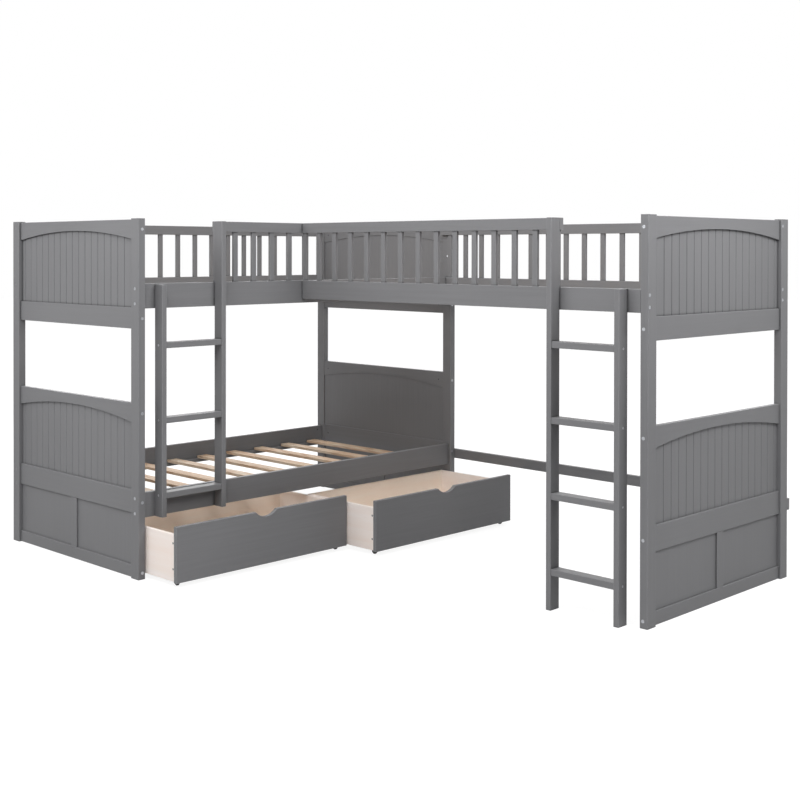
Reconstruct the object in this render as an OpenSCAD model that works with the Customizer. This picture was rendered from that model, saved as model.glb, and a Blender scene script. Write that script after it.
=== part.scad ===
// L-shaped bunk bed: a twin bunk with a loft bed joined to it at a right angle.
//
// Three equal framed ends (near, far, loft) carry everything. Each has two posts, arched rails over
// V-grooved boards, and two flat panels low down. Side rails hang between the ends on bolts, guards
// stand on the deck rails, two fixed ladders lead up, and two drawers roll out from below.
//
// The bunk runs along Y on the left, the loft bed runs along X behind it on the right. The origin is
// on the floor under the middle of the whole bed, +X points to the loft's end, +Z up. Millimetres.

/* [Overall] */
// Length across both beds, from the back of the bunk to the end of the loft bed
overall_x = 3048; // [2950:1:3200]
// Length of the bunk over its posts
bunk_l = 2035; // [2000:1:2120]
// Width of each bed over its posts
bed_w = 1088; // [1060:1:1160]
// Height of the six posts
post_h = 1565; // [1562:1:1620]

/* [Posts] */
// Width of a post along its end frame
post_w = 57; // [52:1:64]
// Depth of a post across its end frame
post_d = 35; // [32:1:40]

/* [End frames] */
// Thickness of the rails of an end frame
rail_t = 22; // [20:1:24]
// How far those rails lie behind the outer face of the posts
rail_recess = 10; // [8:1:12]
// Top edge of the upper arched rail
upper_top = 1561; // [1550:1:1562]
// Top edge of the lower arched rail
lower_top = 762; // [720:1:800]
// Height of an arched rail at its ends
arch_h = 86; // [76:1:96]
// Rise of the arch at the middle of the rail
arch_rise = 41; // [25:1:55]
// Underside of the waist rail
waist_z = 1085; // [1000:1:1110]
// Height of the waist rail
waist_h = 92; // [70:1:110]
// Underside of the middle rail
middle_z = 283; // [240:1:320]
// Height of the middle rail
middle_h = 100; // [80:1:110]
// Height of the bottom rail
bottom_h = 54; // [44:1:70]
// Gap between the floor and the bottom rail
bottom_gap = 1; // [1:1:10]
// Width of the muntin between the two flat panels
muntin_w = 48; // [40:1:60]

/* [Boards and panels] */
// Thickness of a grooved board
board_t = 8; // [7:1:9]
// How far those boards lie behind the outer face of their rails
board_set = 10; // [8:1:12]
// Number of V-grooves across a board
groove_n = 18; // [12:1:24]
// Width of a V-groove
groove_w = 7; // [3:0.5:8]
// Depth of a V-groove
groove_d = 3; // [1.5:0.5:3.5]
// Thickness of a flat panel
flat_t = 6; // [4:1:8]
// How far boards and panels reach into the grooves of their rails
tongue = 7; // [5:1:9]

/* [Side rails] */
// Thickness of the side rails, deck rails and guard rails
side_t = 22; // [20:1:25]
// How far the bunk's side rails lie behind the posts' faces
side_setback = 17; // [14:1:20]
// Top edge of all deck rails
deck_top = 1282; // [1240:1:1300]
// Height of the bunk's deck rails and of the lower side rails
bunk_rail_h = 109; // [100:1:120]
// Height of the loft's deck rails
loft_rail_h = 90; // [86:1:100]
// Underside of the lower side rails
side_rail_z = 263; // [261:1:290]
// Thickness of the low brace behind the bed
brace_t = 20; // [16:1:22]
// Height of the low brace
brace_h = 50; // [40:1:60]
// Underside of the low brace
brace_z = 293; // [260:1:330]

/* [Guards] */
// Top edge of the guards
guard_top = 1559; // [1540:1:1561]
// Height of a guard's top rail
guard_h = 48; // [40:1:56]
// Width of a guard slat
picket_w = 25; // [20:1:30]
// Thickness of a guard slat
picket_t = 12; // [10:1:14]
// Slats in each of the two long guards at the back
long_guard_n = 18; // [14:1:20]
// Slats in the loft's front guard
loft_front_n = 15; // [12:1:17]
// Slats in the bunk's short front guard
bunk_front_n = 6; // [5:1:7]
// Distance from the near end to the bunk's front guard
bunk_guard_start = 424; // [420:1:430]
// How far that guard carries on behind the loft's front face
bunk_guard_past = 45; // [30:1:60]

/* [Bed slats] */
// Width of a bed slat
slat_w = 64; // [55:1:75]
// Thickness of a bed slat
slat_t = 14; // [12:1:18]
// Slats in each bed
slat_n = 10; // [8:1:12]
// Side of the square cleats that carry the slats
cleat = 20; // [18:1:24]

/* [Ladders] */
// Width of a ladder stile
stile_w = 24; // [20:1:26]
// Depth of a ladder stile
stile_d = 56; // [50:1:64]
// Clear width between the stiles
ladder_gap = 299; // [290:1:306]
// Distance from the near end to the bunk's ladder
bunk_ladder_inset = 96; // [90:1:100]
// Distance from the loft's end to the loft's ladder
loft_ladder_inset = 92; // [88:1:96]
// Height of a rung
rung_h = 26; // [22:1:30]
// Depth of a rung
rung_d = 50; // [44:1:50]
// Underside of the lowest rung of the bunk's ladder
bunk_rung_z = 343; // [320:1:360]
// Rise from rung to rung on the bunk's ladder
bunk_rung_rise = 328; // [300:1:330]
// Underside of the lowest rung of the loft's ladder
loft_rung_z = 139; // [110:1:150]
// Rise from rung to rung on the loft's ladder
loft_rung_rise = 301; // [290:1:315]
// Top of the short stile of the bunk's ladder
bunk_stile_top = 1276; // [1260:1:1282]

/* [Drawers] */
// How far drawer 1 stands open
drawer_1_open = 228; // [0:1:450]
// How far drawer 2 stands open
drawer_2_open = 425; // [0:1:450]
// Thickness of a drawer front
front_t = 19; // [16:1:22]
// Bottom edge of a drawer front
front_z = 20; // [16:1:21]
// Height of a drawer front
front_h = 239; // [226:1:240]
// Depth of a drawer from its front face to its back
drawer_depth = 487; // [470:1:560]
// Thickness of a drawer's sides and back
wall_t = 13; // [11:1:16]
// Bottom edge of a drawer's sides
wall_z = 24; // [22:1:28]
// Height of a drawer's sides
wall_h = 202; // [190:1:204]
// Thickness of a drawer's bottom
floor_t = 5; // [4:1:6]
// Width of the hand scoop in a drawer front
scoop_w = 125; // [100:1:150]
// Depth of the hand scoop
scoop_d = 26; // [20:1:32]

/* [Casters] */
// Radius of a caster wheel
wheel_r = 15; // [13:0.5:15]
// Width of a caster wheel
wheel_w = 12; // [10:1:14]

/* [Fasteners] */
// Diameter of a bed bolt's shank
bolt_d = 6; // [5:0.5:7]
// Diameter of a bed bolt's head
head_d = 13; // [11:0.5:14]
// Diameter of a barrel nut
nut_d = 10; // [9:0.5:11]

/* [Hidden] */

PAINT = [0.42, 0.43, 0.44];
PINE = [0.80, 0.68, 0.52];
BIRCH = [0.90, 0.86, 0.82];
STEEL = [0.75, 0.75, 0.77];
PLASTIC = [0.16, 0.16, 0.17];

// Planes of the plan
x_back = -overall_x / 2;                // outer face of the bunk's back posts
x_front = x_back + bed_w;               // outer face of the bunk's front posts
x_end = overall_x / 2;                  // outer face of the loft's posts
y_near = -(bunk_l + brace_t) / 2;       // outer face of the near end
y_far = y_near + bunk_l;                // outer face of the far end
y_loft = y_far - bed_w;                 // front face of the loft bed

// Near corners of the long rails, each side_t thick
x_front_rail = x_front - side_setback - side_t;
x_back_rail = x_back + side_setback;
y_back_rail = y_far - post_w;
rail_y0 = y_near + post_d;              // the bunk's rails run between these
rail_y1 = y_far - post_d;
rail_x0 = x_front_rail + side_t;        // and the loft's between these
rail_x1 = x_end - post_d;

// Levels
bunk_deck_z = deck_top - bunk_rail_h;
loft_deck_z = deck_top - loft_rail_h;
guard_z = guard_top - guard_h;
picket_l = guard_z - deck_top;

ease = 1.5;                             // chamfer on the long edges of all timber
inner_w = bed_w - 2 * post_w;           // clear width between the posts of an end
board_y = rail_recess + board_set;      // outer face of the grooved boards
flat_y = rail_recess + (rail_t - flat_t) / 2;
arch_r = (pow(inner_w / 2, 2) + pow(arch_rise, 2)) / (2 * arch_rise);
ARCH_FN = 720;
BORE_FN = 48;

// Bed bolts, with their heads let into the wood and a barrel nut in the rail
head_h = 3;
head_room = 0.75;
socket_af = 5;
bore_room = 0.2;
bolt_reach = 46;                        // how far a bolt goes into the rail
nut_set = 35;                           // from the rail's end to the barrel nut
nut_past = 5;                           // how far a barrel nut passes the bolt's axis
edge_set = 22;                          // from a rail's edge to a bolt

mortise = 10;                           // depth of a guard slat's mortise

// Drawers
drawer_side_gap = 2;
drawer_mid_gap = 4;
drawer_w = (bunk_l - 2 * post_d - 2 * drawer_side_gap - drawer_mid_gap) / 2;
wall_inset = 3;                         // from the front's end to a drawer's side
floor_z = 36;                           // underside of a drawer's bottom
floor_groove = 6;
scoop_r = (pow(scoop_w / 2, 2) + pow(scoop_d, 2)) / (2 * scoop_d);

// Casters: a housing under the drawer's bottom with a wheel on its own stub axles
caster_x = [-44, -drawer_depth + 48];   // front and rear axles, from the drawer's front face
caster_y = 34;                          // from the drawer's end to the middle of a wheel
cheek_t = 3;
cheek_gap = 1;                          // between the wheel and a cheek
housing_l = 40;
housing_z = 9;                          // lowest edge of a cheek
plate_t = 3;
stub_r = 3;
stub_room = 0.05;
tread_round = 3;

// ---------------------------------------------------------------- shared forms

// Cross-section of a piece of timber, w by h, with its four edges eased
module eased(w, h) {
    polygon([
        [ease, 0], [w - ease, 0], [w, ease], [w, h - ease],
        [w - ease, h], [ease, h], [0, h - ease], [0, ease]
    ]);
}

// A piece of timber from the origin, its edges eased along the longest side
module timber(size) {
    if (size.x >= size.y && size.x >= size.z)
        rotate([90, 0, 90])
            linear_extrude(size.x) eased(size.y, size.z);
    else if (size.y >= size.z)
        translate([0, size.y, 0])
            rotate([90, 0, 0])
                linear_extrude(size.y) eased(size.x, size.z);
    else
        linear_extrude(size.z) eased(size.x, size.y);
}

// Starts of n equal widths spread from a to b, the first and last flush with the ends
function spread(a, b, width, n) = [for (i = [0 : n - 1]) a + i * (b - a - width) / (n - 1)];

// ---------------------------------------------------------------- bolts and barrel nuts

// Places its children on a bolt's axis, with +Z into the wood and +X towards the face that the
// barrel nut is let into. hand is 1 where that face is on the left of the bolt's way, or else -1.
module bolt_place(at, heading, hand, grip, thick) {
    $grip = grip;
    $thick = thick;
    translate(at)
        rotate([0, 0, heading])
            rotate([0, 90, 0])
                rotate([0, 0, 90 * hand])
                    children();
}

module bolt() {
    difference() {
        union() {
            cylinder(d = head_d, h = head_h, $fn = BORE_FN);
            cylinder(d = bolt_d, h = $grip + bolt_reach, $fn = BORE_FN);
        }
        translate([0, 0, -1])
            cylinder(d = socket_af / cos(30), h = head_h, $fn = 6);
    }
}

module bolt_hole() {
    translate([0, 0, -1])
        cylinder(d = head_d + 2 * head_room, h = head_h + 1, $fn = BORE_FN);
    cylinder(d = bolt_d + 2 * bore_room, h = $grip + bolt_reach + 2, $fn = BORE_FN);
}

// Runs from just past the bolt to the rail's inner face, as solid or as the hole for it
module barrel(past) {
    translate([-nut_past, 0, $grip + nut_set])
        rotate([0, 90, 0])
            cylinder(d = nut_d, h = nut_past + $thick / 2 + past, $fn = BORE_FN);
}

module barrel_nut() {
    difference() {
        barrel(0);
        cylinder(d = bolt_d, h = $grip + bolt_reach, $fn = BORE_FN);
    }
}

module bolt_and_nut_hole() {
    bolt_hole();
    barrel(1);
}

// Middle heights of the five rails of an end frame, where its bolts are
rail_levels = [
    upper_top - arch_h / 2, waist_z + waist_h / 2, lower_top - arch_h / 2,
    middle_z + middle_h / 2, bottom_gap + bottom_h / 2
];

// In an end's own frame: through the narrow edge of a post into the ends of the rails
module end_bolts(side, levels = rail_levels)
    for (z = levels)
        bolt_place([side * bed_w, rail_recess + rail_t / 2, z], 180 * side, 1 - 2 * side,
                   post_w, rail_t)
            children();

// Heights of the two bolts at each end of a long rail
function pair_levels(z, h) = [z + edge_set, z + h - edge_set];
lower_levels = pair_levels(side_rail_z, bunk_rail_h);
bunk_levels = pair_levels(bunk_deck_z, bunk_rail_h);
loft_levels = pair_levels(loft_deck_z, loft_rail_h);
corner_level = loft_deck_z + loft_rail_h / 2;
guard_level = guard_z + guard_h / 2;

// Through the bunk's posts at both ends, into a rail whose near corner is at x
module bunk_bolts(x, levels, inner)
    for (z = levels) {
        bolt_place([x + side_t / 2, y_near, z], 90, -inner, post_d, side_t) children();
        bolt_place([x + side_t / 2, y_far, z], -90, inner, post_d, side_t) children();
    }

// Through a post of the loft's end, into a rail whose near corner is at y
module loft_bolts(y, levels, inner)
    for (z = levels)
        bolt_place([x_end, y + side_t / 2, z], 180, -inner, post_d, side_t)
            children();

// Through the bunk's front rail from its inner face, into the end of a loft rail
module corner_bolts(y, level, inner)
    bolt_place([x_front_rail, y + side_t / 2, level], 0, inner, side_t, side_t)
        children();

module front_rail_bolts() bunk_bolts(x_front_rail, concat(lower_levels, bunk_levels), -1) children();
module back_rail_bolts()
    bunk_bolts(x_back_rail, concat(lower_levels, bunk_levels, [guard_level]), 1) children();
module loft_front_bolts() loft_bolts(y_loft, loft_levels, 1) children();
module loft_back_bolts() loft_bolts(y_back_rail, concat(loft_levels, [guard_level]), -1) children();
module deck_corner_bolts() {
    corner_bolts(y_loft, corner_level, 1) children();
    corner_bolts(y_back_rail, corner_level, -1) children();
}
module guard_corner_bolt() corner_bolts(y_loft, guard_level, 1) children();

module all_bolt_places() {
    for (end = ["near", "far", "loft"])
        at_end(end)
            for (side = [0, 1])
                end_bolts(side) children();
    front_rail_bolts() children();
    back_rail_bolts() children();
    loft_front_bolts() children();
    loft_back_bolts() children();
    deck_corner_bolts() children();
    guard_corner_bolt() children();
}

module bed_bolts() color(STEEL) all_bolt_places() bolt();
module barrel_nuts() color(STEEL) all_bolt_places() barrel_nut();

// ---------------------------------------------------------------- end frames
// An end's own frame: x across the end from 0 to bed_w, y from 0 at the outer face inwards.

module at_end(end) {
    if (end == "near")
        translate([x_back, y_near, 0]) children();
    else if (end == "far")
        translate([x_front, y_far, 0]) rotate([0, 0, 180]) children();
    else
        translate([x_end, y_loft, 0]) rotate([0, 0, 90]) children();
}

// side 0 is at x = 0 and side 1 at x = bed_w
module post(end, side) {
    color(PAINT) difference() {
        at_end(end)
            translate([side * (bed_w - post_w), 0, 0])
                timber([post_w, post_d, post_h]);
        at_end(end)
            end_bolts(side) bolt_hole();
        children();
    }
}

module near_front_post() post("near", 1) front_rail_bolts() bolt_hole();
module near_back_post() post("near", 0) back_rail_bolts() bolt_hole();
module far_front_post() post("far", 0) front_rail_bolts() bolt_hole();
module far_back_post() post("far", 1) back_rail_bolts() bolt_hole();
module loft_front_post() post("loft", 0) loft_front_bolts() bolt_hole();
module loft_back_post() post("loft", 1) loft_back_bolts() bolt_hole();

// Groove of width t for a board or panel whose outer face is at y, over the whole clear width
module groove(z, y, t)
    translate([post_w - 1, y, z])
        cube([inner_w + 2, t, tongue]);

// A disc across the end frame whose rim is the arch, moved out by grow
module arch_disc(top, y, t, grow)
    translate([bed_w / 2, y, top - arch_h + arch_rise - arch_r])
        rotate([-90, 0, 0])
            cylinder(r = arch_r + grow, h = t, $fn = ARCH_FN);

module arched_rail(top)
    difference() {
        translate([post_w, rail_recess, top - arch_h])
            timber([inner_w, rail_t, arch_h]);
        arch_disc(top, rail_recess - 1, rail_t + 2, 0);
        arch_disc(top, board_y, board_t, tongue + 0.5);
        for (side = [0, 1])
            end_bolts(side, [top - arch_h / 2]) bolt_and_nut_hole();
    }

module arched_rails(end) color(PAINT) at_end(end) {
    arched_rail(upper_top);
    arched_rail(lower_top);
}

module cross_rail(z, h)
    difference() {
        translate([post_w, rail_recess, z])
            timber([inner_w, rail_t, h]);
        children();
        for (side = [0, 1])
            end_bolts(side, [z + h / 2]) bolt_and_nut_hole();
    }

module cross_rails(end) color(PAINT) at_end(end) {
    cross_rail(waist_z, waist_h)
        groove(waist_z + waist_h - tongue, board_y, board_t);
    cross_rail(middle_z, middle_h) {
        groove(middle_z + middle_h - tongue, board_y, board_t);
        groove(middle_z, flat_y, flat_t);
    }
    cross_rail(bottom_gap, bottom_h)
        groove(bottom_gap + bottom_h - tongue, flat_y, flat_t);
}

// Plan of a board: flat inside, with evenly spaced V-grooves in its outer face
module board_section() {
    pitch = inner_w / groove_n;
    half = groove_w / 2;
    vees = [for (i = [0 : groove_n - 1]) let (x = (i + 0.5) * pitch)
        each [[x - half, 0], [x, groove_d], [x + half, 0]]];
    polygon(concat([[0, 0]], vees, [[inner_w, 0], [inner_w, board_t], [0, board_t]]));
}

// A board from the groove of the rail below it up into the groove under the arch
module grooved_board(z, top)
    intersection() {
        translate([post_w, board_y, z - tongue])
            linear_extrude(top - z) board_section();
        arch_disc(top, 0, post_d, tongue);
    }

module grooved_boards(end) color(PAINT) at_end(end) {
    grooved_board(waist_z + waist_h, upper_top);
    grooved_board(middle_z + middle_h, lower_top);
}

panel_z = bottom_gap + bottom_h;        // between the bottom rail and the middle rail
panel_h = middle_z - panel_z;

module flat_panels(end) color(PAINT) at_end(end)
    for (x = [post_w, (bed_w + muntin_w) / 2 - tongue])
        translate([x, flat_y, panel_z - tongue])
            cube([(inner_w - muntin_w) / 2 + tongue, flat_t, panel_h + 2 * tongue]);

module muntin()
    difference() {
        translate([(bed_w - muntin_w) / 2, rail_recess, panel_z])
            timber([muntin_w, rail_t, panel_h]);
        for (x = [-1, muntin_w - tongue])
            translate([(bed_w - muntin_w) / 2 + x, flat_y, panel_z - 1])
                cube([tongue + 1, flat_t, panel_h + 2]);
    }

module end_muntins() color(PAINT)
    for (end = ["near", "far", "loft"])
        at_end(end) muntin();

module near_arched_rails() arched_rails("near");
module near_cross_rails() cross_rails("near");
module near_grooved_boards() grooved_boards("near");
module near_flat_panels() flat_panels("near");
module far_arched_rails() arched_rails("far");
module far_cross_rails() cross_rails("far");
module far_grooved_boards() grooved_boards("far");
module far_flat_panels() flat_panels("far");
module loft_arched_rails() arched_rails("loft");
module loft_cross_rails() cross_rails("loft");
module loft_grooved_boards() grooved_boards("loft");
module loft_flat_panels() flat_panels("loft");

// ---------------------------------------------------------------- guards

bunk_back_last = 6;                     // from the bunk's last back slat to the far end of its guard
loft_back_shift = 5;                    // how far the loft's back slats stand left of the even spacing
loft_first_pitch = 101;                 // from the loft's first front slat to its second
loft_front_last = 8;                    // from its last front slat to the end of its guard

// Where each guard's slats start along its rail
bunk_guard_y0 = y_near + bunk_guard_start;
bunk_guard_y1 = y_loft + bunk_guard_past;
tall_stile_x = x_end - loft_ladder_inset - ladder_gap - 2 * stile_w;
bunk_front_pickets = spread(bunk_guard_y0, bunk_guard_y1, picket_w, bunk_front_n);
bunk_back_pickets = spread(rail_y0, rail_y1 - bunk_back_last, picket_w, long_guard_n);
loft_back_pickets = spread(x_front - loft_back_shift, rail_x1 - loft_back_shift, picket_w, long_guard_n);

// The loft's first front slat stands in the corner, nearer to the next one than the others are
loft_front_end = tall_stile_x + stile_w;
loft_front_pickets = concat(
    [rail_x0],
    spread(rail_x0 + loft_first_pitch, loft_front_end - loft_front_last, picket_w, loft_front_n - 1)
);

// Slats of a guard along Y or X, tenoned into the deck rail below and the top rail above
module pickets_y(x, starts)
    for (y = starts)
        translate([x + (side_t - picket_t) / 2, y, deck_top - mortise])
            cube([picket_t, picket_w, picket_l + 2 * mortise]);

module pickets_x(y, starts)
    for (x = starts)
        translate([x, y + (side_t - picket_t) / 2, deck_top - mortise])
            cube([picket_w, picket_t, picket_l + 2 * mortise]);

module bunk_front_guard_slats() color(PAINT) pickets_y(x_front_rail, bunk_front_pickets);
module bunk_back_guard_slats() color(PAINT) pickets_y(x_back_rail, bunk_back_pickets);
module loft_front_guard_slats() color(PAINT) pickets_x(y_loft, loft_front_pickets);
module loft_back_guard_slats() color(PAINT) pickets_x(y_back_rail, loft_back_pickets);

// A rail along Y or X of height h with its underside at z, less its children
module rail_y(x, y0, y1, z, h) color(PAINT)
    difference() {
        translate([x, y0, z])
            timber([side_t, y1 - y0, h]);
        children();
    }

module rail_x(y, x0, x1, z, h) color(PAINT)
    difference() {
        translate([x0, y, z])
            timber([x1 - x0, side_t, h]);
        children();
    }

module bunk_front_guard_rail()
    rail_y(x_front_rail, bunk_guard_y0, bunk_guard_y1, guard_z, guard_h) {
        pickets_y(x_front_rail, bunk_front_pickets);
        guard_corner_bolt() bolt_hole();
    }

module bunk_back_guard_rail()
    rail_y(x_back_rail, rail_y0, rail_y1, guard_z, guard_h) {
        pickets_y(x_back_rail, bunk_back_pickets);
        bunk_bolts(x_back_rail, [guard_level], 1) bolt_and_nut_hole();
    }

module loft_front_guard_rail()
    rail_x(y_loft, rail_x0, loft_front_end, guard_z, guard_h) {
        pickets_x(y_loft, loft_front_pickets);
        guard_corner_bolt() bolt_and_nut_hole();
    }

// Its left end lies on the inner face of the far front post
module loft_back_guard_rail()
    rail_x(y_back_rail, x_front - post_w, rail_x1, guard_z, guard_h) {
        pickets_x(y_back_rail, loft_back_pickets);
        loft_bolts(y_back_rail, [guard_level], -1) bolt_and_nut_hole();
    }

// ---------------------------------------------------------------- deck and side rails

module lower_front_side_rail()
    rail_y(x_front_rail, rail_y0, rail_y1, side_rail_z, bunk_rail_h)
        bunk_bolts(x_front_rail, lower_levels, -1) bolt_and_nut_hole();

module lower_back_side_rail()
    rail_y(x_back_rail, rail_y0, rail_y1, side_rail_z, bunk_rail_h)
        bunk_bolts(x_back_rail, lower_levels, 1) bolt_and_nut_hole();

module bunk_front_deck_rail()
    rail_y(x_front_rail, rail_y0, rail_y1, bunk_deck_z, bunk_rail_h) {
        pickets_y(x_front_rail, bunk_front_pickets);
        bunk_bolts(x_front_rail, bunk_levels, -1) bolt_and_nut_hole();
        deck_corner_bolts() bolt_hole();
    }

module bunk_back_deck_rail()
    rail_y(x_back_rail, rail_y0, rail_y1, bunk_deck_z, bunk_rail_h) {
        pickets_y(x_back_rail, bunk_back_pickets);
        bunk_bolts(x_back_rail, bunk_levels, 1) bolt_and_nut_hole();
    }

module loft_front_deck_rail()
    rail_x(y_loft, rail_x0, rail_x1, loft_deck_z, loft_rail_h) {
        pickets_x(y_loft, loft_front_pickets);
        loft_bolts(y_loft, loft_levels, 1) bolt_and_nut_hole();
        corner_bolts(y_loft, corner_level, 1) bolt_and_nut_hole();
    }

module loft_back_deck_rail()
    rail_x(y_back_rail, rail_x0, rail_x1, loft_deck_z, loft_rail_h) {
        pickets_x(y_back_rail, loft_back_pickets);
        loft_bolts(y_back_rail, loft_levels, -1) bolt_and_nut_hole();
        corner_bolts(y_back_rail, corner_level, -1) bolt_and_nut_hole();
    }

// Runs low behind the bed, on the back faces of the far end's front post and the loft's back post
module low_back_brace() color(PAINT)
    translate([x_front - post_w, y_far, brace_z])
        timber([x_end - x_front + post_w, brace_t, brace_h]);

// ---------------------------------------------------------------- bed slats and cleats

slat_room = 8;                          // from a slat's end to the rail
first_slat = 41;                        // from the near end of the bunk's rails to the first slat
last_slat = 64;                         // and from the last slat to their far end
loft_first_slat = 20;                   // the same at both ends of the loft

bunk_slat_x0 = x_back_rail + side_t + slat_room;
bunk_slat_l = x_front_rail - slat_room - bunk_slat_x0;
loft_slat_y0 = y_loft + side_t + slat_room;
loft_slat_l = y_back_rail - slat_room - loft_slat_y0;
bunk_slat_starts = spread(rail_y0 + first_slat, rail_y1 - last_slat, slat_w, slat_n);
loft_slat_starts = spread(x_front + loft_first_slat, rail_x1 - loft_first_slat, slat_w, slat_n);

module bunk_slats(z) color(PINE)
    for (y = bunk_slat_starts)
        translate([bunk_slat_x0, y, z])
            timber([bunk_slat_l, slat_w, slat_t]);

module lower_bed_slats() bunk_slats(side_rail_z + cleat);
module upper_bunk_slats() bunk_slats(bunk_deck_z + cleat);

module loft_bed_slats() color(PINE)
    for (x = loft_slat_starts)
        translate([x, loft_slat_y0, loft_deck_z + cleat])
            timber([slat_w, loft_slat_l, slat_t]);

module slat_cleats() color(PAINT) {
    for (z = [side_rail_z, bunk_deck_z], x = [x_back_rail + side_t, x_front_rail - cleat])
        translate([x, rail_y0 + nut_set + nut_d, z])
            timber([cleat, rail_y1 - rail_y0 - 2 * (nut_set + nut_d), cleat]);
    for (y = [y_loft + side_t, y_back_rail - cleat])
        translate([rail_x0 + nut_set + nut_d, y, loft_deck_z])
            timber([rail_x1 - rail_x0 - 2 * (nut_set + nut_d), cleat, cleat]);
}

// ---------------------------------------------------------------- ladders
// A ladder's own frame: x across both stiles, y from its front face to the bed, z up.

far_stile_x = stile_w + ladder_gap;

module at_bunk_ladder()
    translate([rail_x0 + stile_d, y_near + bunk_ladder_inset, 0])
        rotate([0, 0, 90]) children();

module at_loft_ladder()
    translate([tall_stile_x, y_loft - stile_d, 0]) children();

module stile(x, z, top) color(PAINT)
    translate([x, 0, z])
        timber([stile_w, stile_d, top - z]);

module rungs(z, rise, n) color(PAINT)
    for (i = [0 : n - 1])
        translate([stile_w, (stile_d - rung_d) / 2, z + i * rise])
            timber([ladder_gap, rung_d, rung_h]);

module bunk_ladder_short_stile() at_bunk_ladder() stile(0, side_rail_z, bunk_stile_top);
module bunk_ladder_tall_stile() at_bunk_ladder() stile(far_stile_x, side_rail_z, guard_top);
module bunk_ladder_rungs() at_bunk_ladder() rungs(bunk_rung_z, bunk_rung_rise, 3);
module loft_ladder_tall_stile() at_loft_ladder() stile(0, 0, guard_top);
module loft_ladder_short_stile() at_loft_ladder() stile(far_stile_x, 0, deck_top);
module loft_ladder_rungs() at_loft_ladder() rungs(loft_rung_z, loft_rung_rise, 4);

// ---------------------------------------------------------------- drawers
// A drawer's own frame: x from 0 at its front face to -drawer_depth at its back, y along the front
// from 0 to drawer_w, z up from the floor.

wall_y = wall_inset + wall_t;           // inner face of a side
box_x = -drawer_depth + wall_t;         // inner face of the back

module at_drawer(n)
    translate([
        x_front + (n == 1 ? drawer_1_open : drawer_2_open),
        rail_y0 + drawer_side_gap + (n - 1) * (drawer_w + drawer_mid_gap),
        0
    ])
        children();

// Room for the bottom, which stands in a groove all round
module bottom_sheet(reach)
    translate([box_x - reach, wall_y - reach, floor_z])
        cube([-front_t - box_x + 2 * reach, drawer_w - 2 * wall_y + 2 * reach, floor_t]);

module drawer_front(n) color(PAINT) at_drawer(n)
    difference() {
        translate([-front_t, 0, front_z])
            timber([front_t, drawer_w, front_h]);
        translate([-front_t - 1, drawer_w / 2, front_z + front_h - scoop_d + scoop_r])
            rotate([0, 90, 0])
                cylinder(r = scoop_r, h = front_t + 2, $fn = 180);
        bottom_sheet(floor_groove);
    }

module drawer_sides(n) color(BIRCH) at_drawer(n)
    for (y = [wall_inset, drawer_w - wall_y])
        difference() {
            translate([-drawer_depth, y, wall_z])
                timber([drawer_depth - front_t, wall_t, wall_h]);
            bottom_sheet(floor_groove);
        }

module drawer_back(n) color(BIRCH) at_drawer(n)
    difference() {
        translate([-drawer_depth, wall_y, wall_z])
            timber([wall_t, drawer_w - 2 * wall_y, wall_h]);
        bottom_sheet(floor_groove);
    }

module drawer_bottom(n) color(BIRCH) at_drawer(n) bottom_sheet(floor_groove);

// Places its children on the axles at x, with +Z along the axle, at the middle of each wheel
module on_axles(n, x) at_drawer(n)
    for (y = [caster_y, drawer_w - caster_y])
        translate([x, y, wheel_r])
            rotate([-90, 0, 0])
                children();

housing_w = wheel_w + 2 * (cheek_gap + cheek_t);

// Seen along the axle: a plate under the drawer's bottom and a cheek that narrows downwards.
// Here +Y points down.
module caster_housing() {
    top = floor_z - wheel_r;
    low = wheel_r - housing_z;
    plate = top - plate_t;
    difference() {
        translate([0, 0, -housing_w / 2])
            linear_extrude(housing_w)
                polygon([
                    [-housing_l / 2, -top], [housing_l / 2, -top], [housing_l / 2, -plate],
                    [housing_l / 2 - 5, -plate], [stub_r + 4, low], [-stub_r - 4, low],
                    [-housing_l / 2 + 5, -plate], [-housing_l / 2, -plate]
                ]);
        translate([-housing_l, -plate, -wheel_w / 2 - cheek_gap])
            cube([2 * housing_l, plate + low + 1, wheel_w + 2 * cheek_gap]);
        translate([0, 0, -housing_w])
            cylinder(r = stub_r + stub_room, h = 2 * housing_w, $fn = BORE_FN);
    }
}

// A moulded wheel in one piece with its stub axles, dished on both sides
module wheel() {
    half = wheel_w / 2;
    dish = 1.5;
    rotate_extrude($fn = 96)
        polygon([
            [0, -housing_w / 2], [stub_r, -housing_w / 2], [stub_r, -half],
            [stub_r + 2, -half], [stub_r + 3, -half + dish],
            [wheel_r - tread_round - 3, -half + dish], [wheel_r - tread_round - 2, -half],
            [wheel_r - tread_round, -half], [wheel_r, -half + tread_round],
            [wheel_r, half - tread_round], [wheel_r - tread_round, half],
            [wheel_r - tread_round - 2, half], [wheel_r - tread_round - 3, half - dish],
            [stub_r + 3, half - dish], [stub_r + 2, half],
            [stub_r, half], [stub_r, housing_w / 2], [0, housing_w / 2]
        ]);
}

module caster_housings(n) color(PLASTIC)
    for (x = caster_x)
        on_axles(n, x) caster_housing();

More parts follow.
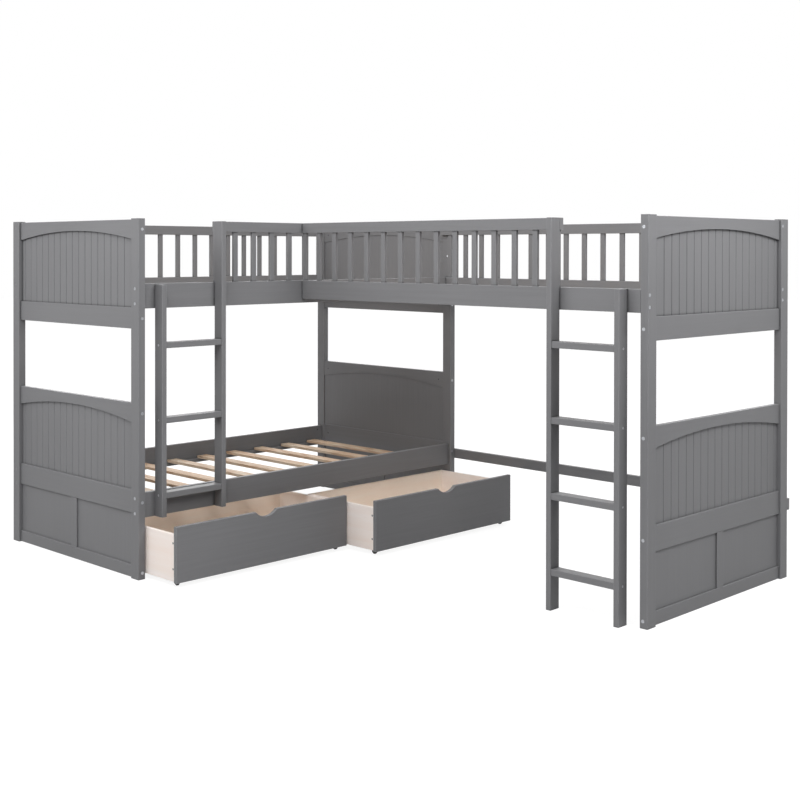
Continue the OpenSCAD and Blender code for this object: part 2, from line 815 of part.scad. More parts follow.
module drawer_1_front() drawer_front(1);
module drawer_1_sides() drawer_sides(1);
module drawer_1_back() drawer_back(1);
module drawer_1_bottom() drawer_bottom(1);
module drawer_1_caster_housings() caster_housings(1);
module drawer_1_front_wheels() color(PLASTIC) on_axles(1, caster_x[0]) wheel();
module drawer_1_rear_wheels() color(PLASTIC) on_axles(1, caster_x[1]) wheel();
module drawer_2_front() drawer_front(2);
module drawer_2_sides() drawer_sides(2);
module drawer_2_back() drawer_back(2);
module drawer_2_bottom() drawer_bottom(2);
module drawer_2_caster_housings() caster_housings(2);
module drawer_2_front_wheels() color(PLASTIC) on_axles(2, caster_x[0]) wheel();
module drawer_2_rear_wheels() color(PLASTIC) on_axles(2, caster_x[1]) wheel();

// ---------------------------------------------------------------- nodes

near_front_post();
near_back_post();
near_arched_rails();
near_cross_rails();
near_grooved_boards();
near_flat_panels();
far_front_post();
far_back_post();
far_arched_rails();
far_cross_rails();
far_grooved_boards();
far_flat_panels();
loft_front_post();
loft_back_post();
loft_arched_rails();
loft_cross_rails();
loft_grooved_boards();
loft_flat_panels();
end_muntins();
lower_front_side_rail();
lower_back_side_rail();
bunk_front_deck_rail();
bunk_back_deck_rail();
loft_front_deck_rail();
loft_back_deck_rail();
bunk_front_guard_rail();
bunk_back_guard_rail();
loft_front_guard_rail();
loft_back_guard_rail();
bunk_front_guard_slats();
bunk_back_guard_slats();
loft_front_guard_slats();
loft_back_guard_slats();
slat_cleats();
lower_bed_slats();
upper_bunk_slats();
loft_bed_slats();
low_back_brace();
bunk_ladder_short_stile();
bunk_ladder_tall_stile();
bunk_ladder_rungs();
loft_ladder_short_stile();
loft_ladder_tall_stile();
loft_ladder_rungs();
bed_bolts();
barrel_nuts();
drawer_1_front();
drawer_1_sides();
drawer_1_back();
drawer_1_bottom();
drawer_1_caster_housings();
drawer_1_front_wheels();
drawer_1_rear_wheels();
drawer_2_front();
drawer_2_sides();
drawer_2_back();
drawer_2_bottom();
drawer_2_caster_housings();
drawer_2_front_wheels();
drawer_2_rear_wheels();
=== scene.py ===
"""Looks of the L-shaped bunk bed: satin grey paint, pine bed slats, pale drawer boxes, zinc
screws, the studio and the camera. Metres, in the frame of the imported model: +X points to the loft's
end, +Y to the wall behind the loft bed, +Z up, the floor at z = 0."""

import bmesh
import bpy
import numpy as np
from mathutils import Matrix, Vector


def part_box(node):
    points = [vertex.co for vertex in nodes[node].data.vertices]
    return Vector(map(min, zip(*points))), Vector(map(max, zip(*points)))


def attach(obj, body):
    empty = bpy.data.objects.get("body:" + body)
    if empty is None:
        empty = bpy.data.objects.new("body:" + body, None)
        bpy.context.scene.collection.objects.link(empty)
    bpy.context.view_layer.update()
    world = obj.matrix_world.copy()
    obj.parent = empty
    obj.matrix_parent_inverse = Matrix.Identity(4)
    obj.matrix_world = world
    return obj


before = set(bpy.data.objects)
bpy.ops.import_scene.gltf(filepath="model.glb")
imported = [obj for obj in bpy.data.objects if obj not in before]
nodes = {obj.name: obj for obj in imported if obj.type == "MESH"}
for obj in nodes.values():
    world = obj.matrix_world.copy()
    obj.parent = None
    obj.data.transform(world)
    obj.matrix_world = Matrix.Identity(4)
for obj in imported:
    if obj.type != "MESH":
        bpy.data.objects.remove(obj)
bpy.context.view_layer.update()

# ---------------------------------------------------------------- colours


def linear(red, green, blue):
    """A colour on the 0 to 255 scale of a paint card, made linear and opaque."""
    c = np.array([red, green, blue]) / 255
    c = np.where(c <= 0.04045, c / 12.92, ((c + 0.055) / 1.055) ** 2.4)
    return (*c.tolist(), 1.0)


PAINT_DARK = linear(113, 113, 115)
PAINT_LIGHT = linear(122, 122, 124)
# The next colour is a painted highlight for the eased edges of the paint.
PAINT_EDGE_HIGHLIGHT = linear(158, 159, 161)
# The next colour is painted shade for grooves and inner corners of the paint.
PAINT_CREVICE_SHADE = linear(78, 79, 80)
PINE_LATE = linear(193, 158, 130)
PINE_MIDDLE = linear(221, 198, 173)
PINE_EARLY = linear(226, 213, 196)
PINE_TAN = linear(242, 222, 202)
PINE_KNOT = linear(126, 92, 66)
BOX_WARM = linear(247, 231, 221)
BOX_PALE = linear(251, 243, 238)
# The next two colours are a warmer copy of the box board: painted light, standing in for warm light
# bounced inside the drawers.
INSIDE_WARM_BOUNCE = linear(250, 231, 214)
INSIDE_PALE_BOUNCE = linear(253, 243, 231)
BOX_PORE = linear(216, 192, 174)
ZINC_DARK = linear(176, 178, 182)
ZINC_LIGHT = linear(226, 228, 232)
BOLT_DARK = linear(150, 152, 156)
BOLT_LIGHT = linear(204, 206, 210)
NUT_DARK = linear(84, 85, 88)
NUT_LIGHT = linear(116, 117, 120)
BLACK_ZINC = linear(52, 52, 54)
WORN_ZINC = linear(104, 104, 108)
NYLON_BLACK = linear(34, 34, 36)
NYLON_DUSTY = linear(62, 61, 60)
FLOOR_PALE = linear(190, 190, 190)
FLOOR_SHADE = linear(120, 120, 120)
WHITE = (1, 1, 1, 1)

# ---------------------------------------------------------------- sizes

SLAT_WIDTH = 0.064
SLATS_PER_BED = 10

# The middles of the rungs' heights: undersides, rise from rung to rung and half a rung.
HALF_RUNG = 0.013
BUNK_RUNGS = 0.343 + 0.328 * np.arange(3) + HALF_RUNG
LOFT_RUNGS = 0.139 + 0.301 * np.arange(4) + HALF_RUNG

# Bolts left of the first and nearer than the second are those of the near end's back post.
BACK_POST_X = -1.45
NEAR_POST_Y = -1.0

# Radii of the screw heads, and how far a head stands out of the wood.
LADDER_SCREW = 0.0045
SLAT_SCREW = 0.004
BOX_SCREW = 0.0045
PROUD = 0.0003

# Places of the screws: shares of a rail's height, from a slat's end, from the corner post's edge
# and the floor, and from the ends of a drawer's side and the floor.
RAIL_SHARES = np.array([0.40, 0.75])
SLAT_INSET = 0.006
CORNER_INSET = 0.025
CORNER_HEIGHT = 1.397
BOX_FRONT_INSET = 0.010
BOX_BACK_INSET = 0.0065
BOX_HEIGHTS = (0.077, 0.187)

# ---------------------------------------------------------------- camera

# Its place, turn, lens and shift give the photograph's frame of 800 by 800 pixels.
camera = bpy.data.objects.new("camera", bpy.data.cameras.new("camera"))
bpy.context.scene.collection.objects.link(camera)
camera.location = (4.1658, -4.0884, 1.4246)
camera.rotation_euler = (1.563143, -0.001382, 0.77715)
camera.data.sensor_width = 36
camera.data.lens = 56.465
camera.data.shift_x = -0.0018
camera.data.shift_y = -0.17416
camera.data.clip_end = 200
bpy.context.scene.camera = camera

# ---------------------------------------------------------------- finishes


class Tree:
    """A tree of shader nodes, empty at first, and short ways to put nodes in it."""

    def __init__(self, tree):
        self.tree = tree
        tree.nodes.clear()

    def add(self, kind, values=None, **settings):
        """A new node with its settings, and its inputs set or linked."""
        made = self.tree.nodes.new(kind)
        for key, value in settings.items():
            setattr(made, key, value)
        for key, value in (values or {}).items():
            self.put(made, key, value)
        return made

    def put(self, made, key, value):
        """Links a node's input to a socket, or sets it where the value is a plain one."""
        if isinstance(key, str):
            key = key.replace("_", " ")
        if isinstance(value, bpy.types.NodeSocket):
            self.tree.links.new(value, made.inputs[key])
        else:
            made.inputs[key].default_value = value

    def math(self, operation, *values):
        return self.add("ShaderNodeMath", dict(enumerate(values)), operation=operation).outputs[0]

    def vector(self, operation, *values, result="Vector"):
        made = self.add("ShaderNodeVectorMath", dict(enumerate(values)), operation=operation)
        return made.outputs[result]

    def level(self, fac, low, high, to_low, to_high):
        """Carries the range from low to high over to another one, and stops at its ends."""
        values = {0: fac, 1: low, 2: high, 3: to_low, 4: to_high}
        return self.add("ShaderNodeMapRange", values).outputs[0]

    def looked_at(self):
        """1 for what is seen by the camera, in gloss or through glass, and 0 for other light."""
        path = self.add("ShaderNodeLightPath").outputs
        seen = self.math("MAXIMUM", path["Is Camera Ray"], path["Is Glossy Ray"])
        return self.math("MAXIMUM", seen, path["Is Transmission Ray"])


class Finish(Tree):
    """A material of one shader. Every pattern in it reads Object coordinates."""

    def __init__(self, name, **shader):
        self.material = bpy.data.materials.new(name)
        self.material.use_nodes = True
        super().__init__(self.material.node_tree)
        self.shader = self.add("ShaderNodeBsdfPrincipled", shader)
        self.surface = self.add("ShaderNodeOutputMaterial", {0: self.shader.outputs["BSDF"]})
        self.place = self.add("ShaderNodeTexCoord").outputs["Object"]

    def set(self, **values):
        for key, value in values.items():
            self.put(self.shader, key, value)

    def stretched(self, scale, shift=(0, 0, 0)):
        """The coordinates, moved and then scaled: a pattern of size 1 becomes 1 / scale metres."""
        return self.vector("MULTIPLY", self.vector("ADD", self.place, shift), scale)

    def noise(self, scale, detail, rough, shift=(0, 0, 0)):
        place = self.stretched(scale, shift)
        values = {"Vector": place, "Scale": 1, "Detail": detail, "Roughness": rough}
        return self.add("ShaderNodeTexNoise", values).outputs["Fac"]

    def total(self, *parts):
        """The sum of patterns, each times its share."""
        whole = None
        for pattern, share in parts:
            part = pattern if share == 1 else self.math("MULTIPLY", pattern, share)
            whole = part if whole is None else self.math("ADD", whole, part)
        return whole

    def ramp(self, fac, *stops):
        """Runs fac through colours at their places."""
        made = self.add("ShaderNodeValToRGB", {"Fac": fac})
        elements = made.color_ramp.elements
        while len(elements) < len(stops):
            elements.new(0.5)
        for element, (position, colour) in zip(elements, stops):
            element.position = position
            element.color = colour
        return made.outputs["Color"]

    def mix(self, fac, first, second, blend="MIX"):
        made = self.add("ShaderNodeMix", data_type="RGBA", blend_type=blend)
        for index, value in ((0, fac), (6, first), (7, second)):
            self.put(made, index, value)
        return made.outputs[2]

    def bump(self, height, distance, strength, under=None):
        """The normal over a relief of this height in metres, on top of another bump if given."""
        values = {"Height": height, "Distance": distance, "Strength": strength}
        if under is not None:
            values["Normal"] = under
        return self.add("ShaderNodeBump", values).outputs["Normal"]


def along(axis, grain, cross):
    """A scale: grain along the axis of the wood's fibres and cross over the other two."""
    return tuple(grain if a == axis else cross for a in "xyz")


def even(scale):
    """The same scale along all three axes."""
    return (scale, scale, scale)


def grey_paint(axis):
    """Satin grey paint on pine. The wood's fibres show through the film as faint long streaks, the
    spray leaves a fine peel, and the tone drifts a little over a board. The eased edges carry a
    painted highlight, lighter where the rounded normal turns away from the flat one. Grooves and
    inner corners, where little is open over a point within a centimetre, carry painted shade, the
    more of it the higher up."""
    paint = Finish("grey_paint_grain_" + axis)
    streaks = paint.noise(along(axis, grain=2.2, cross=95), detail=4, rough=0.6)
    fibres = paint.noise(along(axis, grain=9, cross=420), detail=3, rough=0.55)
    drift = paint.noise(even(1.7), detail=2, rough=0.5)
    peel = paint.noise(even(620), detail=1, rough=0.5)
    tone = paint.total((streaks, 0.55), (drift, 0.45))
    film = paint.ramp(tone, (0.30, PAINT_DARK), (0.70, PAINT_LIGHT))

    # Painted highlight: the eased edges are lightened where the rounded normal turns away from the
    # flat one.
    rounded = paint.add("ShaderNodeBevel", {"Radius": 0.003}, samples=4).outputs["Normal"]
    flat = paint.add("ShaderNodeNewGeometry").outputs["Normal"]
    turn = paint.vector("DOT_PRODUCT", rounded, flat, result="Value")
    painted_edge_highlight = paint.level(turn, low=0.98, high=0.80, to_low=0.0, to_high=0.55)

    # Painted shade: grooves and inner corners are darkened where little is open within a centimetre,
    # more strongly higher up.
    around = paint.add("ShaderNodeAmbientOcclusion", {"Distance": 0.010}, samples=6).outputs["AO"]
    painted_crevice_shade = paint.level(around, low=0.95, high=0.55, to_low=0.0, to_high=1.0)
    height = paint.add("ShaderNodeSeparateXYZ", {0: paint.place}).outputs["Z"]
    stronger_higher_up = paint.level(height, low=0.75, high=1.10, to_low=0.35, to_high=1.0)
    painted_shade = paint.math("MULTIPLY", painted_crevice_shade, stronger_higher_up)
    raised = paint.bump(fibres, distance=0.0004, strength=0.22)
    paint.set(
        Base_Color=paint.mix(painted_shade, paint.mix(painted_edge_highlight, film, PAINT_EDGE_HIGHLIGHT), PAINT_CREVICE_SHADE),
        Roughness=paint.level(streaks, low=0.3, high=0.7, to_low=0.46, to_high=0.56),
        Normal=paint.bump(peel, distance=0.00012, strength=0.35, under=raised),
        Specular_IOR_Level=0.35,
    )
    return paint.material


def pine(axis, start, pitch):
    """Bare planed pine for a row of slats. Slat number = floor((place - start) / pitch), and its
    own white noise moves the pattern and changes the tone, so no two slats are alike. Growth rings
    are bands, the sine of a slow noise, fine fibres run along the slat, and a few knots are near
    points of a cell pattern, with the rings drawn round them."""
    wood = Finish("pine_grain_" + axis)
    parts = wood.add("ShaderNodeSeparateXYZ", {0: wood.place}).outputs
    from_start = wood.math("SUBTRACT", parts["Y" if axis == "x" else "X"], start)
    number = wood.math("FLOOR", wood.math("DIVIDE", from_start, pitch))
    own = wood.add("ShaderNodeTexWhiteNoise", {"W": number}, noise_dimensions="1D").outputs
    shift = wood.vector("MULTIPLY", own["Color"], even(7))

    place = wood.stretched(along(axis, grain=4.5, cross=13), shift)
    cells = wood.add("ShaderNodeTexVoronoi", {"Vector": place, "Scale": 1, "Randomness": 1}).outputs
    lot = wood.add("ShaderNodeSeparateColor", {0: cells["Color"]}).outputs[0]
    rare = wood.math("GREATER_THAN", lot, 0.62)
    near = wood.level(cells["Distance"], low=0.30, high=0.05, to_low=0, to_high=1)
    near = wood.math("MULTIPLY", near, rare)
    knot = wood.level(cells["Distance"], low=0.13, high=0.08, to_low=0, to_high=1)
    knot = wood.math("MULTIPLY", knot, rare)

    slow = wood.noise(along(axis, grain=1.3, cross=9), detail=3, rough=0.5, shift=shift)
    rings = wood.math("SINE", wood.math("MULTIPLY", wood.total((slow, 1), (near, 0.5)), 75))
    fibres = wood.noise(along(axis, grain=7, cross=520), detail=3, rough=0.6, shift=shift)
    broad = wood.noise(along(axis, grain=2.5, cross=30), detail=3, rough=0.5, shift=shift)
    grain = wood.total((fibres, 0.4), (broad, 0.6), (rings, 0.16))
    planed = wood.ramp(grain, (0.22, PINE_LATE), (0.50, PINE_MIDDLE), (0.78, PINE_EARLY))
    tan = wood.level(own["Value"], low=0, high=1, to_low=0, to_high=0.5)
    toned = wood.mix(tan, planed, PINE_TAN, "MULTIPLY")
    wood.set(
        Base_Color=wood.mix(wood.math("MULTIPLY", knot, 0.85), toned, PINE_KNOT),
        Roughness=wood.level(fibres, low=0.3, high=0.7, to_low=0.52, to_high=0.68),
        Normal=wood.bump(wood.total((fibres, 1), (rings, 0.25)), distance=0.0008, strength=0.4),
        Specular_IOR_Level=0.25,
    )
    return wood.material


def pale_board(name, axis, warm, pale):
    """Clear-coated poplar plywood of the drawer boxes: almost white, with long soft figure, short
    pores along the fibres, and a faint warm cast where the coat is thick."""
    ply = Finish(name + "_grain_" + axis)
    figure = ply.noise(along(axis, grain=1.6, cross=22), detail=4, rough=0.55)
    pores = ply.noise(along(axis, grain=28, cross=640), detail=2, rough=0.6)
    cast = ply.noise(even(3), detail=2, rough=0.5)
    body = ply.ramp(ply.total((figure, 0.7), (cast, 0.3)), (0.32, warm), (0.68, pale))
    pitted = ply.level(pores, low=0.36, high=0.22, to_low=0, to_high=0.5)
    ply.set(
        Base_Color=ply.mix(pitted, body, BOX_PORE),
        Roughness=ply.level(figure, low=0.3, high=0.7, to_low=0.42, to_high=0.54),
        Normal=ply.bump(pores, distance=0.0004, strength=0.3),
        Specular_IOR_Level=0.35,
    )
    return ply.material


def plated_steel(name, crystals, detail, dark, light, rough_low, rough_high):
    """Plated steel: small crystals, so many to a metre, change the tone and the gloss, and stand up
    a little. Dark and light are colours at their places on the ramp."""
    metal = Finish(name, Metallic=1.0)
    bloom = metal.noise(even(crystals), detail, rough=0.6)
    metal.set(
        Base_Color=metal.ramp(bloom, dark, light),
        Roughness=metal.level(bloom, low=0.3, high=0.7, to_low=rough_low, to_high=rough_high),
        Normal=metal.bump(bloom, distance=0.00005, strength=0.3),
    )
    return metal.material


def bolt_zinc():
    """Zinc-plated bolt heads, a little dull. In the near end's back post they are touched up with
    the grey paint, so there the metal gives way to the film."""
    metal = Finish("bolt_zinc")
    crystals = metal.noise(even(900), detail=2, rough=0.6)
    place = metal.add("ShaderNodeSeparateXYZ", {0: metal.place}).outputs
    at_back = metal.math("LESS_THAN", place["X"], BACK_POST_X)
    at_near = metal.math("LESS_THAN", place["Y"], NEAR_POST_Y)
    painted = metal.math("MULTIPLY", at_back, at_near)
    plated = metal.ramp(crystals, (0.3, BOLT_DARK), (0.7, BOLT_LIGHT))
    metal.set(
        Base_Color=metal.mix(painted, plated, PAINT_LIGHT),
        Metallic=metal.math("SUBTRACT", 1.0, painted),
        Roughness=metal.level(crystals, low=0.3, high=0.7, to_low=0.32, to_high=0.46),
        Normal=metal.bump(crystals, distance=0.00005, strength=0.3),
    )
    return metal.material


def black_nylon():
    """Moulded nylon of the casters: a fine spark-eroded grain, dusty where it is dull."""
    nylon = Finish("black_nylon")
    grain = nylon.noise(even(1400), detail=2, rough=0.6)
    dust = nylon.noise(even(60), detail=3, rough=0.6)
    nylon.set(
        Base_Color=nylon.ramp(dust, (0.35, NYLON_BLACK), (0.75, NYLON_DUSTY)),
        Roughness=nylon.level(dust, low=0.3, high=0.7, to_low=0.38, to_high=0.60),
        Normal=nylon.bump(grain, distance=0.0001, strength=0.4),
        Specular_IOR_Level=0.4,
    )
    return nylon.material


def slat_middles(node, axis):
    """Middles of the equal slats of a bed along the axis they are laid out on."""
    low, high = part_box(node)
    half = SLAT_WIDTH / 2
    return np.linspace(low[axis] + half, high[axis] - half, SLATS_PER_BED)


def pine_for(node, grain, axis):
    """Pine with one cell of the pattern for every slat of a bed."""
    middles = slat_middles(node, axis)
    pitch = middles[1] - middles[0]
    return pine(grain, middles[0] - pitch / 2, pitch)


paint = {axis: grey_paint(axis) for axis in "xyz"}
side_board = pale_board("side_board", "x", BOX_WARM, BOX_PALE)
# The drawers' backs and bottoms get a warmer copy of the board: painted light for the warm light
# bounced inside the boxes.
back_board_bounce_tint = pale_board("back_board_bounce_tint", "y", INSIDE_WARM_BOUNCE, INSIDE_PALE_BOUNCE)
bolt_plate = bolt_zinc()
zinc_plate = plated_steel(
    "zinc_plate", crystals=900, detail=2, dark=(0.3, ZINC_DARK), light=(0.7, ZINC_LIGHT),
    rough_low=0.24, rough_high=0.38,
)
nut_plate = plated_steel(
    "nut_zinc", crystals=500, detail=3, dark=(0.3, NUT_DARK), light=(0.7, NUT_LIGHT),
    rough_low=0.55, rough_high=0.70,
)
dark_zinc = plated_steel(
    "dark_zinc", crystals=700, detail=3, dark=(0.35, BLACK_ZINC), light=(0.7, WORN_ZINC),
    rough_low=0.5, rough_high=0.34,
)
nylon = black_nylon()
bunk_pine = pine_for("lower_bed_slats", "x", 1)
loft_pine = pine_for("loft_bed_slats", "y", 0)


def coat(name, finish):
    """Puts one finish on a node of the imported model."""
    mesh = nodes[name].data
    mesh.materials.clear()
    mesh.materials.append(finish)


# Painted pieces whose fibres run along X or along Y. Those of all others run up.
ALONG_X = [
    "near_arched_rails", "near_cross_rails", "far_arched_rails", "far_cross_rails",
    "loft_front_deck_rail", "loft_back_deck_rail", "loft_front_guard_rail", "loft_back_guard_rail",
    "low_back_brace", "loft_ladder_rungs",
]
ALONG_Y = [
    "loft_arched_rails", "loft_cross_rails", "lower_front_side_rail", "lower_back_side_rail",
    "bunk_front_deck_rail", "bunk_back_deck_rail", "bunk_front_guard_rail", "bunk_back_guard_rail",
    "bunk_ladder_rungs", "drawer_1_front", "drawer_2_front", "slat_cleats",
]
for name in nodes:
    if name.endswith(("_housings", "_wheels")):
        coat(name, nylon)
    elif name == "bed_bolts":
        coat(name, bolt_plate)
    elif name == "barrel_nuts":
        coat(name, nut_plate)
    elif name in ("lower_bed_slats", "upper_bunk_slats"):
        coat(name, bunk_pine)
    elif name == "loft_bed_slats":
        coat(name, loft_pine)
    elif name.startswith("drawer_") and not name.endswith("_front"):
        coat(name, side_board if name.endswith("_sides") else back_board_bounce_tint)
    else:
        coat(name, paint["x" if name in ALONG_X else "y" if name in ALONG_Y else "z"])

# ---------------------------------------------------------------- screws


def screw_form(radius, turns):
    """One countersunk screw as a surface of two parameters: rings of radius r and angles a.
    The face is z = 0.16 R (1 - (r / R)^2), less a cross pressed in: its depth falls along an arm
    as 1.15 - max(|x|, |y|) / arm and to the sides as 1.6 - min(|x|, |y|) / half width, each kept
    within 0 and 1. Under the rim, rings of radius R, R / 2 and 0 go down into the wood to a closed
    point."""
    share = np.array([0.0, 0.14, 0.28, 0.42, 0.58, 0.76, 0.92, 1.0])[:, None]
    angle = np.linspace(0, 2 * np.pi, turns, endpoint=False)
    x = radius * share * np.cos(angle)
    y = radius * share * np.sin(angle)
    crown = radius * 0.16 * (1 - share ** 2)
    arm, half_width, depth = 0.62 * radius, 0.17 * radius, 0.42 * radius
    out_along = np.maximum(abs(x), abs(y)) / arm
    out_across = np.minimum(abs(x), abs(y)) / half_width
    cross = np.clip(1.15 - out_along, 0, 1) * np.clip(1.6 - out_across, 0, 1)
    face = np.stack([x, y, crown - depth * cross], -1)
    under = [
        np.stack([x[-1] * ring, y[-1] * ring, np.full(turns, -radius * drop)], -1)
        for ring, drop in ((1.0, 0.10), (0.5, 0.62), (0.0, 0.95))
    ]
    return np.concatenate([face, np.stack(under)])


def frames_facing(facing, count):
    """For each screw three unit vectors, the last one w along facing. The first two are u and v
    turned about it: cos(t) u + sin(t) v and cos(t) v - sin(t) u, with t one golden angle more from
    screw to screw, as nobody lines the crosses up."""
    golden_angle = 2.39996
    w = np.array(facing, float)
    u = np.cross(w, (0, 0, 1) if abs(w[2]) < 0.9 else (1, 0, 0))
    v = np.cross(w, u)
    turn = np.arange(count)[:, None] * golden_angle
    first = np.cos(turn) * u + np.sin(turn) * v
    second = np.cos(turn) * v - np.sin(turn) * u
    return np.stack([first, second, np.tile(w, (count, 1))], 1)


def screws(name, sets, radius, body, finish, turns=24):
    """Screws at all the places of the sets, each set a list of points and the way it faces. A point
    of screw s is place + form . frame; rings and angles are joined by four-sided faces, and the
    equal points at both poles are merged."""
    form = screw_form(radius, turns)
    points = []
    for places, facing in sets:
        places = np.array(places, float)
        local = frames_facing(facing, len(places))
        points.append(places[:, None, None, :] + np.einsum("rac,scd->srad", form, local))
    points = np.concatenate(points)
    count, rings = points.shape[:2]
    index = np.arange(count * rings * turns).reshape(count, rings, turns)
    beside = np.roll(index, -1, 2)
    faces = np.stack([index[:, :-1], index[:, 1:], beside[:, 1:], beside[:, :-1]], -1)
    mesh = bpy.data.meshes.new(name)
    mesh.from_pydata(points.reshape(-1, 3).tolist(), [], faces.reshape(-1, 4).tolist())
    mesh.materials.append(finish)
    piece = bpy.data.objects.new(name, mesh)
    bpy.context.scene.collection.objects.link(piece)
    close_poles(mesh)
    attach(piece, body)


def close_poles(mesh):
    """Merges the equal points of a mesh and turns its faces outwards and smooth."""
    shell = bmesh.new()
    shell.from_mesh(mesh)
    bmesh.ops.remove_doubles(shell, verts=shell.verts, dist=1e-6)
    bmesh.ops.dissolve_degenerate(shell, edges=shell.edges, dist=1e-7)
    bmesh.ops.recalc_face_normals(shell, faces=shell.faces)
    for face in shell.faces:
        face.smooth = True
    shell.to_mesh(mesh)
    shell.free()


def spots(axis, along_it, across_it, up):
    """Points as rows, from coordinates along X or Y (axis 0 or 1), across it and upwards."""
    x, y = (along_it, across_it) if axis == 0 else (across_it, along_it)
    return np.stack(np.broadcast_arrays(x, y, up), -1)


def unit(axis, way):
    """The unit vector along an axis, forwards or backwards."""
    return way * np.eye(3)[axis]


def rung_screws(ladder, levels, axis):
    """In the outer face of each stile, in line with the middle of every rung."""
    short_low, short_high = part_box(ladder + "_short_stile")
    tall_low, tall_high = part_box(ladder + "_tall_stile")
    low = min(short_low[axis], tall_low[axis]) - PROUD
    high = max(short_high[axis], tall_high[axis]) + PROUD
    middle = (short_low[1 - axis] + short_high[1 - axis]) / 2
    return [
        (spots(axis, face, middle, levels), unit(axis, way))
        for face, way in ((low, -1), (high, 1))
    ]


def rail_screws(ladder, rails, axis):
    """From the bed's side through a rail into the back of each stile, two in each joint."""
    across = 1 - axis
    sets = []
    for stile in (ladder + "_short_stile", ladder + "_tall_stile"):
        low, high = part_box(stile)
        middle = (low[axis] + high[axis]) / 2
        for rail in rails:
            rail_low, rail_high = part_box(rail)
            way = -1 if low[across] > rail_low[across] else 1
            back = rail_low[across] - PROUD if way < 0 else rail_high[across] + PROUD
            levels = rail_low[2] + (rail_high[2] - rail_low[2]) * RAIL_SHARES
            sets.append((spots(axis, middle, back, levels), unit(across, way)))
    return sets


def slat_screws(node, axis):
    """One at each end of every slat, down into the cleat under it."""
    low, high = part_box(node)
    ends = [low[1 - axis] + SLAT_INSET, high[1 - axis] - SLAT_INSET]
    middles = np.tile(slat_middles(node, axis), 2)
    return [
        (spots(axis, middles, np.repeat(ends, SLATS_PER_BED), high[2] + PROUD), unit(2, 1))
    ]


screws(
    "ladder_screws",
    rung_screws("bunk_ladder", BUNK_RUNGS, 1) + rung_screws("loft_ladder", LOFT_RUNGS, 0)
    + rail_screws("bunk_ladder", ["bunk_front_deck_rail", "lower_front_side_rail"], 1)
    + rail_screws("loft_ladder", ["loft_front_deck_rail"], 0),
    LADDER_SCREW, "bed_frame", zinc_plate,
)
screws(
    "slat_screws",
    slat_screws("lower_bed_slats", 1) + slat_screws("upper_bunk_slats", 1)
    + slat_screws("loft_bed_slats", 0),
    SLAT_SCREW, "bed_frame", zinc_plate, turns=16,
)

# One short screw stays in the far front post, where the two beds meet.
low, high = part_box("far_front_post")
screws(
    "corner_post_screw",
    [([(high.x - CORNER_INSET, low.y - PROUD, CORNER_HEIGHT)], unit(1, -1))],
    LADDER_SCREW, "bed_frame", zinc_plate,
)

for drawer in ("drawer_1", "drawer_2"):
    low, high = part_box(drawer + "_sides")
    ends = np.repeat([high.x - BOX_FRONT_INSET, low.x + BOX_BACK_INSET], len(BOX_HEIGHTS))
    sets = [
        (spots(0, ends, face, np.tile(BOX_HEIGHTS, 2)), unit(1, way))
        for face, way in ((low.y - PROUD, -1), (high.y + PROUD, 1))
    ]
    screws(drawer + "_screws", sets, BOX_SCREW, drawer, dark_zinc)

# ---------------------------------------------------------------- studio

HALF_FLOOR = 30
UNDER_FEET = -0.0005
sheet = bpy.data.meshes.new("studio_floor")
corners = [(-1, -1), (1, -1), (1, 1), (-1, 1)]
sheet.from_pydata(
    [(HALF_FLOOR * x, HALF_FLOOR * y, UNDER_FEET) for x, y in corners], [], [(0, 1, 2, 3)]
)
studio_floor = bpy.data.objects.new("studio_floor", sheet)
bpy.context.scene.collection.objects.link(studio_floor)

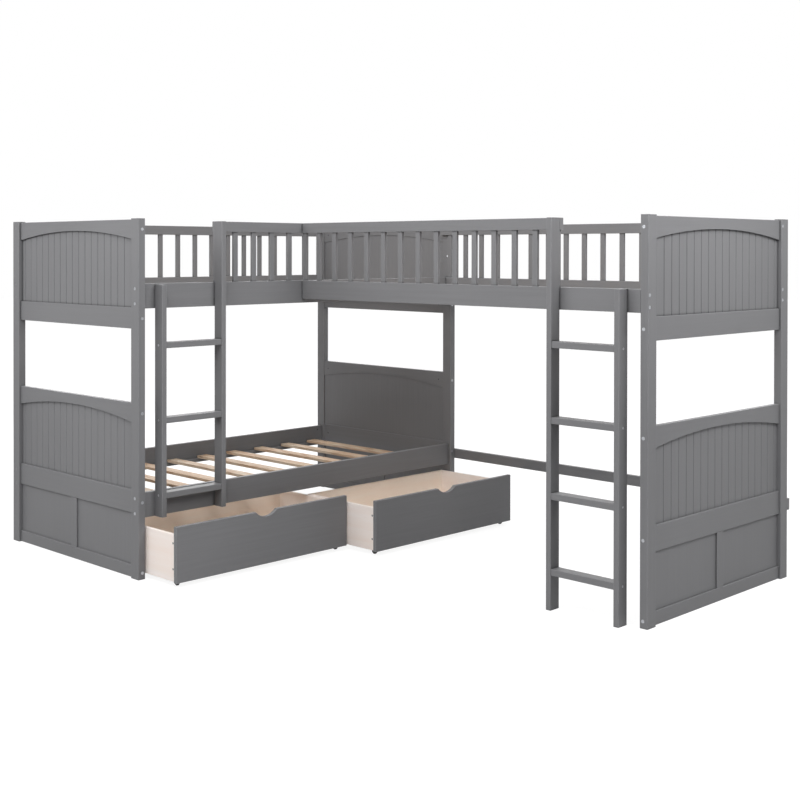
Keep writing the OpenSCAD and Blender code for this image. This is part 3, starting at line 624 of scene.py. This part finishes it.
# Seen by the camera, in gloss or through glass, the floor glows nearly white and the bed's shadow
# only takes a little off it. Everything else sees a plain pale floor.
pale = Finish("studio_floor", Base_Color=FLOOR_PALE, Roughness=0.9, Specular_IOR_Level=0.0)
shade = pale.add("ShaderNodeBsdfDiffuse", {"Color": FLOOR_SHADE})
far = pale.vector("LENGTH", pale.place, result="Value")
glow = pale.level(far, low=1.5, high=4.5, to_low=0.9, to_high=1.02)
glow = pale.add("ShaderNodeEmission", {"Color": WHITE, "Strength": glow})
both = pale.add("ShaderNodeAddShader", {0: shade.outputs[0], 1: glow.outputs[0]})
choice = {0: pale.looked_at(), 1: pale.shader.outputs[0], 2: both.outputs[0]}
pale.put(pale.surface, "Surface", pale.add("ShaderNodeMixShader", choice).outputs[0])
sheet.materials.append(pale.material)

world = bpy.data.worlds.new("studio")
bpy.context.scene.world = world
world.use_nodes = True
sky = Tree(world.node_tree)
white = sky.add("ShaderNodeBackground", {"Color": WHITE, "Strength": 1.0})
fill = sky.add("ShaderNodeBackground", {"Color": WHITE, "Strength": 0.04})
choice = {0: sky.looked_at(), 1: fill.outputs[0], 2: white.outputs[0]}
sky.add("ShaderNodeOutputWorld", {"Surface": sky.add("ShaderNodeMixShader", choice).outputs[0]})


def soft_box(name, place, aim, size, power):
    """A square lamp with an even face, turned towards a point and itself out of the picture."""
    lamp = bpy.data.lights.new(name, "AREA")
    lamp.shape = "SQUARE"
    lamp.size = size
    lamp.energy = power
    box = bpy.data.objects.new(name, lamp)
    bpy.context.scene.collection.objects.link(box)
    box.location = place
    box.visible_camera = False
    box.rotation_euler = (Vector(aim) - Vector(place)).to_track_quat("-Z", "Y").to_euler()


soft_box("soft_box_left", (-1.5, -4.6, 3.2), (-0.3, 0.0, 0.9), size=2.4, power=75)
soft_box("soft_box_right", (3.2, 0.4, 3.4), (0.5, 0.4, 0.6), size=1.8, power=64)
soft_box("soft_box_above", (1.2, -2.7, 4.0), (0.2, 0.0, 0.5), size=2.4, power=126)
soft_box("soft_box_low", (3.6, -3.4, 0.9), (0.0, 0.0, 0.9), size=1.6, power=16)
soft_box("soft_box_near_end", (-1.7, -2.7, 2.4), (-1.0, -1.03, 1.5), size=0.9, power=12)
soft_box("soft_box_loft_end", (3.0, 0.2, 2.7), (1.5, 0.5, 1.2), size=0.9, power=26)
soft_box("soft_box_behind", (-0.5, 3.6, 3.6), (0.0, 0.0, 0.8), size=2.4, power=75)
soft_box("soft_box_wall_side", (-4.2, 1.6, 2.8), (-0.8, 0.2, 0.9), size=2.4, power=85)

bpy.context.scene.view_settings.view_transform = "Standard"
